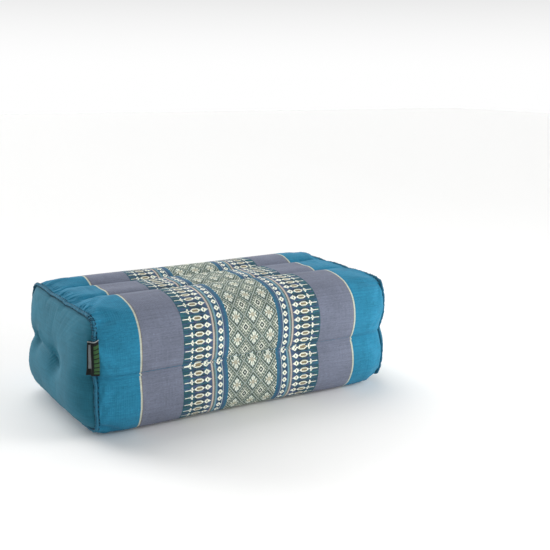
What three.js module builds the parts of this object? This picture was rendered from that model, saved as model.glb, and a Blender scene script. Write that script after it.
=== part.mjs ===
// Flat meditation cushion: a block of patterned cloth stuffed hard with kapok.
// One cloth is wrapped round the girth and sewn into two layers of three tubes along its length.
// A plain panel closes each end, held by a raised seam and drawn in at two points.
// Millimetres, +Z up, the cushion's length along X, the side with the folded tab at -X and -Y.
import * as THREE from 'three';

// The sewn block, measured from seam to seam
const seamLength = 315;
const seamDepth = 165;
const seamHeight = 104.5;
const middleHeight = 60.5;
const halfLength = seamLength / 2;
const halfDepth = seamDepth / 2;
const halfHeight = seamHeight / 2;

// How far the stuffing swells the cloth: half sizes at the left end, in the middle, at the right end.
// The front swells more, so the whole cushion is moved back to stand centred over its origin.
const frontSwell = { left: 91, middle: 91, right: 97 };
const backSwell = { left: 91.5, middle: 89, right: 93 };
const centring = 1.99;
const swellHeight = 64.4;
const swellDrop = 2.2;
const squareness = 4.1;
const shoulderLength = 24.5;
const swellReach = 115;

// The stitched lines: side seams, and channels along the top and the underside
const sideSeamDip = { left: 3.1, middle: 3.8, right: 5 };
const sideSeamWidth = 23.5;
const channelDip = 4.5;
const channelWidth = 20;
const pinchDip = 2;
const pinchWidth = 2.7;
const middleTubeDrop = 4;
const middleTubeEdge = 2 / 3;
const undersideDip = 3.6;
const undersideWidth = 11;
const restSoftness = 4.5;
const bowFalloff = 6;

// Where the top channels run, as a share of the half depth, at the left and the right end
const backChannel = { left: 0.31, right: 0.24 };
const frontChannel = { left: -0.21, right: -0.28 };

// How the end seams depart from a straight rectangle
const sideBow = 1.4;
const sidePull = 4.5;
const pullShare = 0.35;
const outwardBow = 1.6;
const topBow = 0.5;
const topKink = 1.3;
const kinkShare = 0.2;

// The end panels: their swell above and below, their two drawn-in points and the crease between them
const panelUpperSwell = 12.2;
const panelLowerSwell = 18.9;
const panelShoulder = { depth: 34, height: 30.5 };
const lowerSwellEase = { start: 0.5, rate: 0.7 };
const edgeFalloff = 8;
const drawnPoints = [
  { y: 50, z: 2.3, dip: 6.3 },
  { y: -11, z: -3.6, dip: 7.2 },
];
const drawnRadius = 11.7;
const drawnFalloff = 1.5;
const creaseDip = 3.6;
const creaseWidth = 7.2;
const creaseFade = 22;

// Cloth thicknesses, the seam ridge and the clearances between the pieces
const clothThickness = 1.4;
const pieceGap = 0.35;
const ridgeRadius = 1.7;
const ridgeStand = 0.8;
const ridgeClear = 1.2;
const ridgeSides = 6;

// The folded tab on the front seam of the left end: its two ends above the side seam, and its folds
const tabBottom = 1.8;
const tabTop = 34.5;
const tabThickness = 0.8;
const tabLift = 0.45;
const tabPanelShare = 0.6;
const tabRidgeReach = 1.95;
const tabRoundRidge = [0.05, 0.25, 0.5];
const tabFrontReach = 2.43;
const tabFrontShare = 0.75;

// Colours from the photograph
const patternBlue = 0x5f7f93;
const plainTeal = 0x3f7f93;
const seamTeal = 0x2c6076;
const tabBlack = 0x1c211f;

const clamp = (value, low, high) => Math.min(high, Math.max(low, value));
const smoothStep = (value) => {
  const s = clamp(value, 0, 1);
  return s * s * (3 - 2 * s);
};
const dipShape = (distance, width) => clamp(1 - distance / width, 0, 1) ** 2;
const mix = (from, to, share) => from + (to - from) * share;

// A size that differs near the two ends, eased from the middle
function alongLength(size, x) {
  const end = x < 0 ? size.left : size.right;
  return mix(size.middle, end, smoothStep(Math.abs(x) / swellReach));
}

// A point of the unit square's edge. The turn runs from the front's middle up, over the top,
// down the back and under.
function squareEdge(turn) {
  const eighth = (((turn % 1) + 1) % 1) * 8;
  if (eighth < 1) return [-1, eighth];
  if (eighth < 3) return [eighth - 2, 1];
  if (eighth < 5) return [1, 4 - eighth];
  if (eighth < 7) return [6 - eighth, -1];
  return [-1, eighth - 8];
}

// The turns where a stitched line runs: 0 and 1/2 are the side seams, the rest are channels
const sideSeams = [0, 0.5];
const topChannels = [5 / 24, 7 / 24];
const undersideChannels = [17 / 24, 19 / 24];
const evenChannel = 1 / 3;

const turnsBetween = (turn, line) => {
  const apart = (((turn - line) % 1) + 1) % 1;
  return Math.min(apart, 1 - apart);
};
const channelAt = (channel, x) => mix(channel.left, channel.right, (x + halfLength) / seamLength);

// The top's even thirds moved to where the channels really run
function moveToChannels(across, x) {
  const front = channelAt(frontChannel, x);
  const back = channelAt(backChannel, x);
  if (across < -evenChannel) return mix(-1, front, (across + 1) / (1 - evenChannel));
  if (across < evenChannel) return mix(front, back, (across + evenChannel) / (2 * evenChannel));
  return mix(back, 1, (across - evenChannel) / (1 - evenChannel));
}

// The place round the girth that a turn reaches at a length: across and up, each from -1 to 1
function girthPlace(turn, x) {
  const [across, up] = squareEdge(turn);
  const onTop = up >= 1 && Math.abs(across) < 1;
  return [onTop ? moveToChannels(across, x) : across, up];
}

// How an end seam departs from its rectangle, at a point of the unit square
function sideOffset(up) {
  return sideBow * Math.sin(Math.PI * Math.abs(up)) - sidePull * dipShape(Math.abs(up), pullShare);
}
function topOffset(across, x, isTop) {
  const topKinks = [channelAt(frontChannel, x), channelAt(backChannel, x)];
  const kinks = isTop ? topKinks : [-evenChannel, evenChannel];
  const kink = kinks.reduce((sum, place) => sum + dipShape(Math.abs(across - place), kinkShare), 0);
  return topBow * Math.cos((Math.PI / 2) * across) - topKink * kink;
}

// The end seam's line at a turn: depth, height above the middle, and how far it bows outwards
function seamLine(across, up, x) {
  const onSide = Math.abs(across) >= Math.abs(up);
  if (onSide) {
    const y = Math.sign(across) * (Math.abs(across) * halfDepth + sideOffset(up));
    return [y, up * halfHeight, outwardBow * Math.sin(Math.PI * Math.abs(up))];
  }
  const z = Math.sign(up) * (halfHeight + topOffset(across, x, up > 0));
  return [across * halfDepth, z, outwardBow * Math.cos((Math.PI / 2) * across)];
}

// The wrap's outer face. It goes from the end seam's line to a swollen rounded block,
// less the stitched dips.
function wrapPoint(x, turn) {
  const [evenAcross, up] = squareEdge(turn);
  const [across] = girthPlace(turn, x);
  const end = halfLength - ridgeClear;
  const [seamY, seamZ, bow] = seamLine(across, up, x);

  const inward = clamp(1 - (end - Math.abs(x)) / shoulderLength, 0, 1);
  const swell = Math.sqrt(1 - inward * inward);
  const halfY = alongLength(across < 0 ? frontSwell : backSwell, x);
  const round = (Math.abs(across) ** squareness + Math.abs(up) ** squareness) ** (-1 / squareness);
  const unitY = across * round;
  const unitZ = up * round;
  const normal = new THREE.Vector2(
    (Math.sign(unitY) * Math.abs(unitY) ** (squareness - 1)) / halfY,
    (Math.sign(unitZ) * Math.abs(unitZ) ** (squareness - 1)) / swellHeight,
  ).normalize();

  let dip = 0;
  for (const line of sideSeams) {
    const away = turnsBetween(turn, line) * 8 * halfHeight;
    dip += alongLength(sideSeamDip, x) * dipShape(away, sideSeamWidth);
    dip += pinchDip * Math.exp(-away / pinchWidth);
  }
  for (const line of topChannels) {
    const away = turnsBetween(turn, line) * 8 * halfDepth;
    dip += channelDip * dipShape(away, channelWidth) + pinchDip * Math.exp(-away / pinchWidth);
  }
  const fromMiddle = clamp(evenAcross / middleTubeEdge, -1, 1);
  const sag = up >= 1 ? middleTubeDrop * Math.cos((Math.PI / 2) * fromMiddle) ** 2 : 0;
  const fullY = halfY * unitY - normal.x * dip;
  const fullZ = swellHeight * unitZ - swellDrop - normal.y * dip - sag;

  let height = middleHeight + mix(seamZ, fullZ, swell);
  if (height < -restSoftness) height = 0;
  else if (height < restSoftness) height = (height + restSoftness) ** 2 / (4 * restSoftness);
  for (const line of undersideChannels) {
    const away = turnsBetween(turn, line) * 8 * halfDepth;
    height += undersideDip * dipShape(away, undersideWidth) * swell;
  }
  const outward = bow * (Math.abs(x) / halfLength) ** bowFalloff;
  return new THREE.Vector3(x + Math.sign(x) * outward, mix(seamY, fullY, swell), height);
}

// An end panel's face at a point of the unit square, at a depth below its outer face
function panelPoint(side, across, up, below) {
  const halfY = halfDepth - ridgeClear - below;
  const halfZ = halfHeight - ridgeClear - below;
  const endX = side * halfLength;
  const y = across * halfY + Math.sign(across) * Math.abs(across) ** 3 * sideOffset(up);
  const z = up * halfZ + Math.sign(up) * Math.abs(up) ** 3 * topOffset(across, endX, up > 0);
  const sideEdge = Math.abs(across) ** edgeFalloff * Math.sin(Math.PI * Math.abs(up));
  const topEdge = Math.abs(up) ** edgeFalloff * Math.cos((Math.PI / 2) * across);

  const nearSide = clamp(1 - (1 - Math.abs(across)) * (halfY / panelShoulder.depth), 0, 1);
  const nearTop = clamp(1 - (1 - Math.abs(up)) * (halfZ / panelShoulder.height), 0, 1);
  const shoulder = Math.sqrt(1 - nearSide ** 2) * Math.sqrt(1 - nearTop ** 2);
  const lowness = smoothStep(lowerSwellEase.start - lowerSwellEase.rate * up);
  let swell = mix(panelUpperSwell, panelLowerSwell, lowness);
  for (const point of drawnPoints) {
    const away = Math.hypot(y - point.y, z - point.z);
    swell -= point.dip * Math.exp(-((away / drawnRadius) ** drawnFalloff));
  }
  const [first, last] = drawnPoints;
  const creaseZ = mix(last.z, first.z, clamp((y - last.y) / (first.y - last.y), 0, 1));
  const fade = 1 - clamp((last.y - y) / creaseFade, 0, 1);
  swell -= creaseDip * fade * Math.exp(-((Math.abs(z - creaseZ) / creaseWidth) ** drawnFalloff));
  const x = halfLength - below + outwardBow * Math.max(sideEdge, topEdge) + swell * shoulder;
  return new THREE.Vector3(side * x, y, middleHeight + z);
}

// A geometry of triangles turned so that the faces look outwards
function closedGeometry(points, triangles) {
  let volume = 0;
  for (const [a, b, c] of triangles) {
    volume += points[a].dot(new THREE.Vector3().crossVectors(points[b], points[c])) / 6;
  }
  const faces = volume < 0 ? triangles.map(([a, b, c]) => [a, c, b]) : triangles;
  const geometry = new THREE.BufferGeometry();
  const places = points.flatMap((point) => point.toArray());
  geometry.setAttribute('position', new THREE.Float32BufferAttribute(places, 3));
  geometry.setIndex(faces.flat());
  geometry.computeVertexNormals();
  return geometry;
}

// The two triangles between each column and the next of two rows of points
function strip(lower, upper) {
  return lower.flatMap((corner, column) => {
    const next = (column + 1) % lower.length;
    return [[corner, lower[next], upper[next]], [corner, upper[next], upper[column]]];
  });
}

// The numbers of the points in each row, after a first number
function rowsOfNumbers(rowCount, count, first) {
  return Array.from({ length: rowCount }, (_, row) => (
    Array.from({ length: count }, (__, column) => first + row * count + column)
  ));
}

// A closed skin over loops of points, with one point at each end of the row of loops
function skinOverLoops(firstPoint, loops, lastPoint) {
  const count = loops[0].length;
  const points = [firstPoint, ...loops.flat(), lastPoint];
  const rows = rowsOfNumbers(loops.length, count, 1);
  const start = new Array(count).fill(0);
  const end = new Array(count).fill(points.length - 1);
  const triangles = [start, ...rows].flatMap((row, index) => strip(row, rows[index] ?? end));
  return closedGeometry(points, triangles.filter((corners) => new Set(corners).size > 2));
}

// A closed ring whose sections are loops of points
function ringOfLoops(loops) {
  const rows = rowsOfNumbers(loops.length, loops[0].length, 0);
  const triangles = rows.flatMap((row, index) => strip(row, rows[(index + 1) % rows.length]));
  return closedGeometry(loops.flat(), triangles);
}

// Turns round the girth, closer together beside each stitched line and corner
const girthParts = 24;
const stops = [0, 3, 5, 7, 9, 12, 15, 17, 19, 21, 24];
const stepsBetween = [9, 7, 8, 7, 9, 9, 6, 6, 6, 9];
const crowding = 0.6;
const turns = stops.slice(0, -1).flatMap((stop, index) => {
  const count = stepsBetween[index];
  return Array.from({ length: count }, (_, step) => {
    const eased = (1 - Math.cos((Math.PI * step) / count)) / 2;
    return mix(stop, stops[index + 1], mix(step / count, eased, crowding)) / girthParts;
  });
});

// Panel loops shrink from the edge to the middle, closer together on the shoulder
const panelShares = [1, 0.975, 0.93, 0.86, 0.77, 0.66, 0.53, 0.38, 0.2];
function panelLoops(side, below, shares) {
  return shares.map((share) => turns.map((turn) => {
    const [across, up] = girthPlace(turn, side * halfLength);
    return panelPoint(side, across * share, up * share, below);
  }));
}

// The stuffed body: the wrap's outer face, closed under each end panel
function bodyGeometry() {
  const end = halfLength - ridgeClear;
  const shoulderSteps = 7;
  const middleSteps = 26;
  const places = [];
  for (let step = 0; step <= shoulderSteps; step += 1) {
    places.push(-end + shoulderLength * (1 - Math.cos((Math.PI / 2) * (step / shoulderSteps))));
  }
  const innerEnd = end - shoulderLength;
  for (let step = 1; step < middleSteps; step += 1) {
    places.push(mix(-innerEnd, innerEnd, step / middleSteps));
  }
  for (let step = shoulderSteps; step >= 0; step -= 1) {
    places.push(end - shoulderLength * (1 - Math.cos((Math.PI / 2) * (step / shoulderSteps))));
  }
  const under = clothThickness + pieceGap;
  const leftCap = panelLoops(-1, under, panelShares).reverse();
  const rightCap = panelLoops(1, under, panelShares);
  const wrap = places.map((x) => turns.map((turn) => wrapPoint(x, turn)));
  const loops = [...leftCap, ...wrap, ...rightCap];
  return skinOverLoops(panelPoint(-1, 0, 0, under), loops, panelPoint(1, 0, 0, under));
}

// An end panel: its outer face, and its inner face one cloth thickness below
function panelGeometry(side) {
  const outer = panelLoops(side, 0, panelShares);
  const inner = panelLoops(side, clothThickness, panelShares);
  const outerMiddle = panelPoint(side, 0, 0, 0);
  const innerMiddle = panelPoint(side, 0, 0, clothThickness);
  if (side > 0) return skinOverLoops(outerMiddle, [...outer.reverse(), ...inner], innerMiddle);
  return skinOverLoops(innerMiddle, [...inner.reverse(), ...outer], outerMiddle);
}

// The raised seam round an end: a ridge carried along the seam's line, mitred at its corners
function ridgeGeometry(side) {
  const line = turns.map((turn) => {
    const [across, up] = girthPlace(turn, side * halfLength);
    const [y, z, bow] = seamLine(across, up, side * halfLength);
    return new THREE.Vector3(side * (halfLength + bow), y, middleHeight + z);
  });
  const loops = line.map((centre, index) => {
    const before = line[(index + line.length - 1) % line.length];
    const after = line[(index + 1) % line.length];
    const arriving = new THREE.Vector2(centre.y - before.y, centre.z - before.z).normalize();
    const leaving = new THREE.Vector2(after.y - centre.y, after.z - centre.z).normalize();
    const along = arriving.clone().add(leaving).normalize();
    const mitre = 1 / along.dot(leaving);
    const outward = new THREE.Vector3(0, -along.y * mitre, along.x * mitre);
    return Array.from({ length: ridgeSides }, (_, corner) => {
      const angle = (2 * Math.PI * (corner + 0.5)) / ridgeSides;
      return centre.clone()
        .addScaledVector(outward, ridgeStand + ridgeRadius * Math.cos(angle))
        .add(new THREE.Vector3(side * ridgeStand + ridgeRadius * Math.sin(angle), 0, 0));
    });
  });
  return ringOfLoops(loops);
}

// A point pushed off a face in the level plane, where the face runs from one neighbour to the other
function liftOff(point, from, to, lift) {
  const along = new THREE.Vector2(to.x - from.x, to.y - from.y).normalize();
  return point.clone().add(new THREE.Vector3(along.y * lift, -along.x * lift, 0));
}

// One level of the tab's inner or outer face: over the panel's shoulder and round the ridge
function tabLine(up, lift) {
  const [edge, shoulder, flank] = panelShares.map((share) => panelPoint(-1, -share, up * share, 0));
  const [y, z, bow] = seamLine(-1, up, -halfLength);
  const roundRidge = tabRoundRidge.map((share) => {
    const angle = share * Math.PI;
    const reach = tabRidgeReach + lift;
    const x = -halfLength - bow - ridgeStand - reach * Math.cos(angle);
    return new THREE.Vector3(x, y - ridgeStand - reach * Math.sin(angle), middleHeight + z);
  });
  const ridgeFront = roundRidge[roundRidge.length - 1];
  const front = wrapPoint(ridgeClear - halfLength + tabFrontReach, up / 8);
  front.y -= lift;
  return [
    liftOff(flank.clone().lerp(shoulder, tabPanelShare), flank, shoulder, lift),
    liftOff(shoulder, flank, edge, lift),
    liftOff(edge.clone().lerp(shoulder, tabPanelShare), shoulder, edge, lift),
    ...roundRidge,
    ridgeFront.clone().lerp(front, tabFrontShare),
  ];
}

// The folded tab: a strip of ribbon with an inner and an outer face, closed at both ends
function tabGeometry() {
  const low = tabBottom / halfHeight;
  const high = tabTop / halfHeight;
  const levels = [low, ...turns.map((turn) => turn * 8).filter((up) => up > low && up < high), high];
  const outer = (up) => tabLine(up, tabLift + tabThickness).reverse();
  const sections = levels.map((up) => [...tabLine(up, tabLift), ...outer(up)]);
  const rows = rowsOfNumbers(sections.length, sections[0].length, 0);
  const bottom = rows[0];
  const top = rows[rows.length - 1];
  const half = bottom.length / 2;
  const triangles = rows.slice(1).flatMap((row, index) => strip(rows[index], row));
  for (let column = 0; column + 1 < half; column += 1) {
    const opposite = bottom.length - 1 - column;
    const corners = [column, opposite, opposite - 1, column + 1];
    const [a, b, c, d] = corners.map((corner) => bottom[corner]);
    const [e, f, g, h] = corners.map((corner) => top[corner]);
    triangles.push([a, b, c], [a, c, d], [e, g, f], [e, h, g]);
  }
  return closedGeometry(sections.flat(), triangles);
}

// The named pieces
function piece(name, geometry, color, roughness) {
  const mesh = new THREE.Mesh(geometry, new THREE.MeshStandardMaterial({ color, roughness, metalness: 0 }));
  mesh.name = name;
  return mesh;
}

const cushion = new THREE.Group();
cushion.name = 'flat_meditation_cushion';
cushion.position.y = centring;
cushion.add(piece('cushion_body', bodyGeometry(), patternBlue, 0.9));
for (const [end, side] of [['left', -1], ['right', 1]]) {
  cushion.add(piece(`end_panel_${end}`, panelGeometry(side), plainTeal, 0.9));
  cushion.add(piece(`end_ridge_${end}`, ridgeGeometry(side), seamTeal, 0.9));
}
cushion.add(piece('side_tab', tabGeometry(), tabBlack, 0.7));

export default cushion;
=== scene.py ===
import bpy
import numpy as np
from mathutils import Matrix, Vector


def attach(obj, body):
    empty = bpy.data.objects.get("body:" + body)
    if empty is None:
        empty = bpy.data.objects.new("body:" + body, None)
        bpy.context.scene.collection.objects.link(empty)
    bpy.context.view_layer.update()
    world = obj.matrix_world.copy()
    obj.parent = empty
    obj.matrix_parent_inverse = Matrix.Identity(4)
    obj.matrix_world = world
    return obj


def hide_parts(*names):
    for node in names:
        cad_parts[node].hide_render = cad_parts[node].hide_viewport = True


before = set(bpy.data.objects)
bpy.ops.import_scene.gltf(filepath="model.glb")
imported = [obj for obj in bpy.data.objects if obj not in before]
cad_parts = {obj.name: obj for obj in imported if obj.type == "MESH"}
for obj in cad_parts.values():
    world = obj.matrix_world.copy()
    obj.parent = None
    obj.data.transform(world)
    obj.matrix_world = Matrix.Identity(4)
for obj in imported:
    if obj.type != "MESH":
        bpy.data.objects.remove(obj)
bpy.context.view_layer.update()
print("frame loaded")

# A block cushion, stuffed hard: six padded tubes of patterned cloth, a plain panel and a raised seam at each
# end, and a small tab. Sizes are in millimetres here, and makePiece turns them to metres
mm = 0.001
seed = np.random.default_rng(31)

# The rectangle of the end seams and the height of its middle, as in the frame
block = dict(length=315.0, depth=165.0, height=104.5, middle=60.5, ridgeClear=1.2, centring=1.99)
halfLength, halfDepth, halfHeight = block["length"] / 2, block["depth"] / 2, block["height"] / 2
endLine = halfLength - block["ridgeClear"]  # where the cloth stops under the end seam

# Stitched lines, in turns round the block: 0 is the middle of the front and 1/2 the middle of the back
sideSeams = (0, 0.5)
topChannels = (5 / 24, 7 / 24)
undersideChannels = (17 / 24, 19 / 24)

# Small helpers


def clamp(value, low=0.0, high=1.0):  # kept between two limits
    return np.clip(value, low, high)


def mix(start, end, share):  # straight from start to end
    return start + (end - start) * share


def smoothStep(value):  # 3s² − 2s³
    s = clamp(value)
    return s * s * (3 - 2 * s)


def dipShape(distance, width):  # 1 at the line, falling as a parabola to 0 at the width
    return clamp(1 - distance / width) ** 2


def waves(value, periods, phases):  # the mean of sines of several periods, which never looks regular
    return sum(np.sin(2 * np.pi * value / p + f) for p, f in zip(periods, phases)) / len(periods)


def bellShape(distance, width):  # 1 at the line, falling as e to the minus square of the distance
    return np.exp(-(distance / width) ** 2)


def unitLength(ways):  # each way divided by its own length
    return ways / np.maximum(np.linalg.norm(ways, axis=-1, keepdims=True), 1e-9)


def linear(hexColour):  # sRGB hex to linear RGBA
    channels = np.array([int(hexColour[i:i + 2], 16) / 255 for i in (0, 2, 4)])
    low = channels / 12.92
    high = ((channels + 0.055) / 1.055) ** 2.4
    return (*np.where(channels <= 0.04045, low, high), 1.0)


def gridFaces(columns, rows, start=0, wrapRows=False):
    # The quads of a grid of columns × rows points, numbered column by column
    column = np.arange(columns - 1)[:, None]
    row = np.arange(rows if wrapRows else rows - 1)[None, :]
    after = (row + 1) % rows
    a, b = column * rows + row, (column + 1) * rows + row
    c, d = (column + 1) * rows + after, column * rows + after
    return np.stack([a, b, c, d], -1).reshape(-1, 4) + start


def surfaceNormals(points):
    # The cross product of the grid's two directions, made one long
    return unitLength(np.cross(np.gradient(points, axis=0), np.gradient(points, axis=1)))


def splineWeights(places, count):
    # Each fine place, from 0 to 1, as a smooth blend of the four nearest of a coarse grid's lines
    spot = clamp(places) * (count - 1)
    low = np.minimum(spot.astype(int), count - 2)
    t = spot - low
    shares = [(1 - t) ** 3, 3 * t ** 3 - 6 * t ** 2 + 4, -3 * t ** 3 + 3 * t ** 2 + 3 * t + 1, t ** 3]
    weights = np.zeros((len(spot), count))
    for step, share in enumerate(shares):
        np.add.at(weights, (np.arange(len(spot)), np.clip(low + step - 1, 0, count - 1)), share / 6)
    return weights


def crowded(count):
    # Shares from −1 to 1, six tenths of the way from even steps to a sine's, so closer towards both ends
    even = np.linspace(-1, 1, count)
    return mix(even, np.sin(even * np.pi / 2), 0.6)


cornerEase = dict(pull=2.4, radius=8.0, reach=26.0)


def easeCorners(points):
    # The block's eight corners are soft: each is drawn in towards the middle of its end
    x, y, z = np.asarray(points, float).reshape(-1, 3).T
    pull = smoothStep(1 - (halfLength - np.abs(x)) / cornerEase["reach"]) * cornerEase["pull"]
    away = np.hypot(np.abs(y) - halfDepth, np.abs(z - block["middle"]) - halfHeight)
    pull = pull * bellShape(away, cornerEase["radius"])
    return np.stack([x, y - np.sign(y) * pull, z - np.sign(z - block["middle"]) * pull], -1)


def makePiece(name, points, faces, material, layers=None, tints=None):
    # Layers are UV maps and tints a colour, both face by face
    mesh = bpy.data.meshes.new(name)
    vertices = easeCorners(points) * mm + (0, block["centring"] * mm, 0)
    mesh.from_pydata(vertices.tolist(), [], [list(f) for f in faces])
    mesh.polygons.foreach_set("use_smooth", np.ones(len(mesh.polygons), bool))
    for layer, values in (layers or {}).items():
        uv = mesh.uv_layers.new(name=layer)
        uv.data.foreach_set("uv", np.asarray(values, np.float32).ravel())
    if tints is not None:
        tint = mesh.attributes.new("dye", "FLOAT_COLOR", "FACE")
        tint.data.foreach_set("color", np.asarray(tints, np.float32).ravel())
    mesh.validate()
    mesh.update()
    mesh.materials.append(material)
    piece = bpy.data.objects.new(name, mesh)
    bpy.context.collection.objects.link(piece)
    return piece


def addNode(tree, kind, links=None, **settings):
    # Each link is a socket to join to, or a value to set
    node = tree.nodes.new(kind)
    for setting, value in settings.items():
        setattr(node, setting, value)
    for socket, source in (links or {}).items():
        if isinstance(source, bpy.types.NodeSocket):
            tree.links.new(source, node.inputs[socket])
        else:
            node.inputs[socket].default_value = source
    return node


# The shape of the block, by the same formulas as the frame's

# front, back and sideDip hold values for the left, the middle and the right
swells = dict(front=(91.0, 91.0, 97.0), back=(91.5, 89.0, 93.0), rise=64.4, drop=2.2, squareness=4.1,
              shoulder=24.5, reach=115.0, bowPower=6)
creases = dict(sideDip=(3.1, 3.8, 5.0), sideWidth=23.5, topDip=4.5, topWidth=20.0, pinch=2.0, pinchWidth=2.7,
               sag=4.0, sagPitch=1.5, underDip=3.6, underWidth=11.0, floorEase=4.5)
# Where the top's channels run at the left and right end, as shares of the half depth
channels = dict(front=(-0.21, -0.28), back=(0.31, 0.24))
endSeam = dict(sideBulge=1.4, sideDip=4.5, sideWidth=0.35, topBulge=0.5, topDip=1.3, topWidth=0.2, bow=1.6)


def alongLength(left, middle, right, x):  # eased from the middle's value to the left's or the right's
    return mix(middle, np.where(x < 0, left, right), smoothStep(np.abs(x) / swells["reach"]))


def squareEdge(turn):
    # A walk round the unit square: up the front, over the top, down the back and under
    e = (turn % 1) * 8
    across = np.select([e < 1, e < 3, e < 5, e < 7], [-1 + 0 * e, e - 2, 1 + 0 * e, 6 - e], -1.0)
    up = np.select([e < 1, e < 3, e < 5, e < 7], [e, 1 + 0 * e, 4 - e, -1 + 0 * e], e - 8)
    return across, up


def turnsBetween(turn, line):  # the shorter way round
    apart = (turn - line) % 1
    return np.minimum(apart, 1 - apart)


def channelAt(which, x):  # straight from the left end's share to the right end's
    left, right = channels[which]
    return mix(left, right, (x + halfLength) / (2 * halfLength))


def girthPlace(turn, x):
    # The top's thirds are stretched so that its channels run where they do on the object
    across, up = squareEdge(turn)
    front, back, third = channelAt("front", x), channelAt("back", x), 1 / 3
    moved = np.select([across < -third, across < third],
                      [mix(-1, front, (across + 1) / (1 - third)),
                       mix(front, back, (across + third) / (2 * third))],
                      mix(back, 1, (across - third) / (1 - third)))
    return np.where((up >= 1) & (np.abs(across) < 1), moved, across), up


def sideOffset(up):  # the end seam's front and back bulge in each half and dip at the side seam
    bulge = endSeam["sideBulge"] * np.sin(np.pi * np.abs(up))
    return bulge - endSeam["sideDip"] * dipShape(np.abs(up), endSeam["sideWidth"])


def topOffset(across, x, top):  # its top and underside rise a little and dip at each channel
    width = endSeam["topWidth"]
    onTop = sum(dipShape(np.abs(across - channelAt(c, x)), width) for c in channels)
    under = sum(dipShape(np.abs(across - c), width) for c in (-1 / 3, 1 / 3))
    return endSeam["topBulge"] * np.cos(np.pi / 2 * across) - endSeam["topDip"] * np.where(top, onTop, under)


def seamLine(across, up, x):
    # The end seam's rectangle with its offsets, and its bow along the length
    side = np.abs(across) >= np.abs(up)
    y = np.where(side, np.sign(across) * (np.abs(across) * halfDepth + sideOffset(up)), across * halfDepth)
    z = np.where(side, up * halfHeight, np.sign(up) * (halfHeight + topOffset(across, x, up > 0)))
    bow = endSeam["bow"] * np.where(side, np.sin(np.pi * np.abs(up)), np.cos(np.pi / 2 * across))
    return y, z, bow


def drawnIn(turn, lines, edge, dip, width):
    # How far the stitched lines draw the cloth in: a wide dip and a narrow pinch at each
    drawn = 0
    for line in lines:
        away = turnsBetween(turn, line) * 8 * edge
        drawn = drawn + dip * dipShape(away, width)
        drawn = drawn + creases["pinch"] * np.exp(-away / creases["pinchWidth"])
    return drawn


def wrapPoint(x, turn):
    # Full section: a superellipse drawn in at seams and channels, eased to the seam's rectangle
    # over a quarter round at each end, and laid flat where it would go under the floor
    x, turn = np.broadcast_arrays(np.asarray(x, float), np.asarray(turn, float))
    even, up = squareEdge(turn)
    across, _ = girthPlace(turn, x)
    seamY, seamZ, bow = seamLine(across, up, x)
    inward = clamp(1 - (endLine - np.abs(x)) / swells["shoulder"])
    swell = np.sqrt(1 - inward ** 2)
    halfY = np.where(across < 0, alongLength(*swells["front"], x), alongLength(*swells["back"], x))
    n, rise = swells["squareness"], swells["rise"]
    rounding = (np.abs(across) ** n + np.abs(up) ** n) ** (-1 / n)
    unitY, unitZ = across * rounding, up * rounding
    outY = np.sign(unitY) * np.abs(unitY) ** (n - 1) / halfY
    outZ = np.sign(unitZ) * np.abs(unitZ) ** (n - 1) / rise
    outLength = np.hypot(outY, outZ)
    drawn = drawnIn(turn, sideSeams, halfHeight, alongLength(*creases["sideDip"], x), creases["sideWidth"])
    drawn = drawn + drawnIn(turn, topChannels, halfDepth, creases["topDip"], creases["topWidth"])
    middle = clamp(even * creases["sagPitch"], -1, 1)
    sag = np.where(up >= 1, creases["sag"] * np.cos(np.pi / 2 * middle) ** 2, 0)
    fullY = halfY * unitY - outY / outLength * drawn
    fullZ = rise * unitZ - swells["drop"] - outZ / outLength * drawn - sag
    height = block["middle"] + mix(seamZ, fullZ, swell)
    ease = creases["floorEase"]
    height = np.where(height < -ease, 0, np.where(height < ease, (height + ease) ** 2 / (4 * ease), height))
    for line in undersideChannels:
        away = turnsBetween(turn, line) * 8 * halfDepth
        height = height + creases["underDip"] * dipShape(away, creases["underWidth"]) * swell
    x = x + np.sign(x) * bow * (np.abs(x) / halfLength) ** swells["bowPower"]
    return np.stack([x, mix(seamY, fullY, swell), height], -1)


# The woven chart: one letter a cell, a cell wide along the block and a pick high round it. Outside the
# patterned zone, P, there are plain stripes, with their letters and numbers of columns from left to right

weave = dict(cell=0.6, pick=0.745, left=-75.9, bandColumns=79, latticeColumns=90, creamLine=1.6,
             lineLeft=-118.4, lineRight=113.2, edge=0.5, repeat=30, bandRepeat=10, flowerRow=25, relief=0.16,
             shoulderColumns=18, stripes="TCBGPGBCT", stripeColumns=(9, 2, 1, 26, 248, 26, 1, 2, 11))
# Streaks of other yarns in the dark ground: how many columns apart they change, from which share of the noise
# they show, and how strong they get. Then how much the dye varies from cell to cell and from pick to pick
streaks = dict(spacing=12, yarns=("396c89", "51587e", "386e76"), start=0.45, ease=0.3, strength=0.75,
               cellTone=0.05, pickTone=0.03, toneRange=(0.7, 1.3))
dyes = dict(
    T="277a9a",  # teal ends
    C="bcc1b0",  # the narrow cream line
    B="776c66",  # its brown edge
    G="707687",  # grey-purple ground
    k="32424a",  # near black
    n="32526b",  # navy
    t="30565e",  # dark teal green
    u="455a76",  # purple blue
    c="f0f2e2",  # cream floats
    w="c2b8aa",  # core of the pink line
    p="968e8c",  # pinkish tan
    o="8a8064",  # olive
    g="8f998c",  # half-tone grey green
    h="a0a895",  # half-tone cream
    b="6c96ac",  # light blue
    y="748f8a",  # grey green
    l="bfccc8",  # pale lines
    s="3c627f",  # steel blue
    e="316b86",  # teal of the band
    a="b0af9a",  # tan flower hearts
    f="64766d",  # flower ground
    i="dfe4d8",  # ivory petals and rings
    j="3d4a45",  # dark lines of the lattice
)
raised = "cwplgahiC"  # floats that stand a little proud
streaked = "tnku"  # grounds that show streaks

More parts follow.
